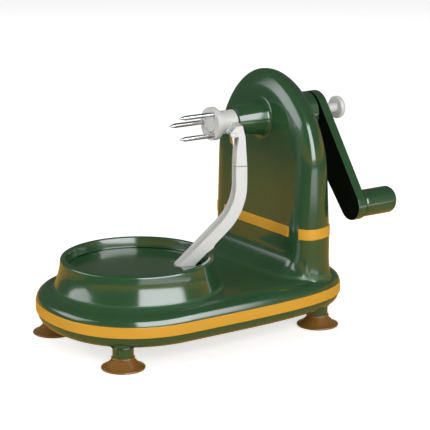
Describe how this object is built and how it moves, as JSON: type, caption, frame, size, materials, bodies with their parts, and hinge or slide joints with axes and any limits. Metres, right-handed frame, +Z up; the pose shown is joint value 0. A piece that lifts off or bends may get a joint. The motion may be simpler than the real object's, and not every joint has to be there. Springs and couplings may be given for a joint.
{
  "type": "hand cranked apple peeler",
  "caption": "Crank-driven fruit peeler: a fork turns the fruit while hidden gears carry a sprung peeling arm slowly round it, on an oval base with suction feet.",
  "frame": {"origin": "middle of the bounding box, on the table that the suction feet stand on", "axes": "+X along the spindle towards the crank, +Z up, +Y away from the side the grip hangs on"},
  "size_m": [0.1846, 0.1006, 0.131],
  "materials": {
    "green_plastic": "glossy moulded",
    "amber_trim": "satin",
    "amber_cup": "soft translucent",
    "white_plastic": "satin moulded",
    "gear_nylon": "moulded",
    "steel": "turned",
    "bronze": "sintered"
  },
  "bodies": {
    "base": {"base_top_shell": "green_plastic", "base_tray": "green_plastic", "base_trim_band": "amber_trim", "tower_housing": "green_plastic", "tower_back_cover": "green_plastic", "tower_front_trim": "amber_trim", "tower_side_trim": "amber_trim", "front_left_cup": "amber_cup", "front_right_cup": "amber_cup", "rear_left_cup": "amber_cup", "rear_right_cup": "amber_cup", "tray_screws": "steel", "cover_screws": "steel", "front_bush": "bronze", "rear_bush": "bronze", "shaft_bracket": "gear_nylon", "bracket_screws": "steel", "turntable_post": "gear_nylon", "idler_axle_a": "steel", "idler_axle_b": "steel", "axle_clips": "steel"},
    "spindle": {"spindle": "steel", "spindle_bevel_gear": "gear_nylon", "fork_hub": "white_plastic", "fork_tines": "steel", "crank_arm": "green_plastic", "grip_pin": "steel", "ejector_spring": "steel"},
    "grip": {"handle_grip": "green_plastic"},
    "ejector": {"ejector_button": "white_plastic", "ejector_rod": "steel", "ejector_plate": "white_plastic"},
    "drive_shaft": {"vertical_shaft": "steel", "shaft_bevel_gear": "gear_nylon", "shaft_pinion": "gear_nylon"},
    "idler_a": {"idler_gear_a": "gear_nylon"},
    "idler_b": {"idler_gear_b": "gear_nylon"},
    "turntable": {"turntable_disc": "green_plastic", "turntable_gear": "gear_nylon", "turntable_screws": "steel", "arm_pin": "steel"},
    "arm": {"peeling_arm": "white_plastic", "blade_head": "white_plastic", "arm_spring": "steel"},
    "blade": {"blade": "steel"}
  },
  "joints": [
    {"name": "crank_spin", "type": "hinge", "parent": "base", "child": "spindle", "pos_m": [0.06327, 0, 0.106], "axis": [-1, 0, 0], "range_deg": [-15060, 120]},
    {"name": "shaft_spin", "type": "hinge", "parent": "base", "child": "drive_shaft", "pos_m": [0.04124, 0, 0.013], "axis": [0, 0, 1], "range_deg": [-180.72, 15120.72]},
    {"name": "idler_a_spin", "type": "hinge", "parent": "base", "child": "idler_a", "pos_m": [0.01622, -0.00084, 0.015], "axis": [0, 0, 1], "range_deg": [-4774.96, 57.07]},
    {"name": "idler_b_spin", "type": "hinge", "parent": "base", "child": "idler_b", "pos_m": [-0.008, 0.00548, 0.019], "axis": [0, 0, 1], "range_deg": [-18.02, 1507.88]},
    {"name": "turntable_spin", "type": "hinge", "parent": "base", "child": "turntable", "pos_m": [-0.04262, 0, 0.03], "axis": [0, 0, 1], "range_deg": [-311.98, 3.73]},
    {"name": "grip_spin", "type": "hinge", "parent": "spindle", "child": "grip", "pos_m": [0.07476, -0.0354, 0.06197], "axis": [1, 0, 0], "continuous": true},
    {"name": "ejector_slide", "type": "slide", "parent": "spindle", "child": "ejector", "axis": [-1, 0, 0], "range_m": [0, 0.008], "stiffness_N_per_m": 150, "deforming": ["ejector_spring"]},
    {"name": "arm_tilt", "type": "hinge", "parent": "turntable", "child": "arm", "pos_m": [-0.02675, -0.00664, 0.031], "axis": [0.3859, 0.9225, 0], "range_deg": [-12, 2], "stiffness_Nm_per_rad": 0.4, "deforming": ["arm_spring"]},
    {"name": "blade_swivel", "type": "hinge", "parent": "arm", "child": "blade", "pos_m": [0.00222, -0.01876, 0.1044], "axis": [0.3859, 0.9225, 0], "range_deg": [-8, 8]}
  ],
  "couplings": [
    {"joint": "shaft_spin", "follows": "crank_spin", "ratio": -1},
    {"joint": "idler_a_spin", "follows": "crank_spin", "ratio": 0.31579},
    {"joint": "idler_b_spin", "follows": "crank_spin", "ratio": -0.099723},
    {"joint": "turntable_spin", "follows": "crank_spin", "ratio": 0.020632}
  ]
}
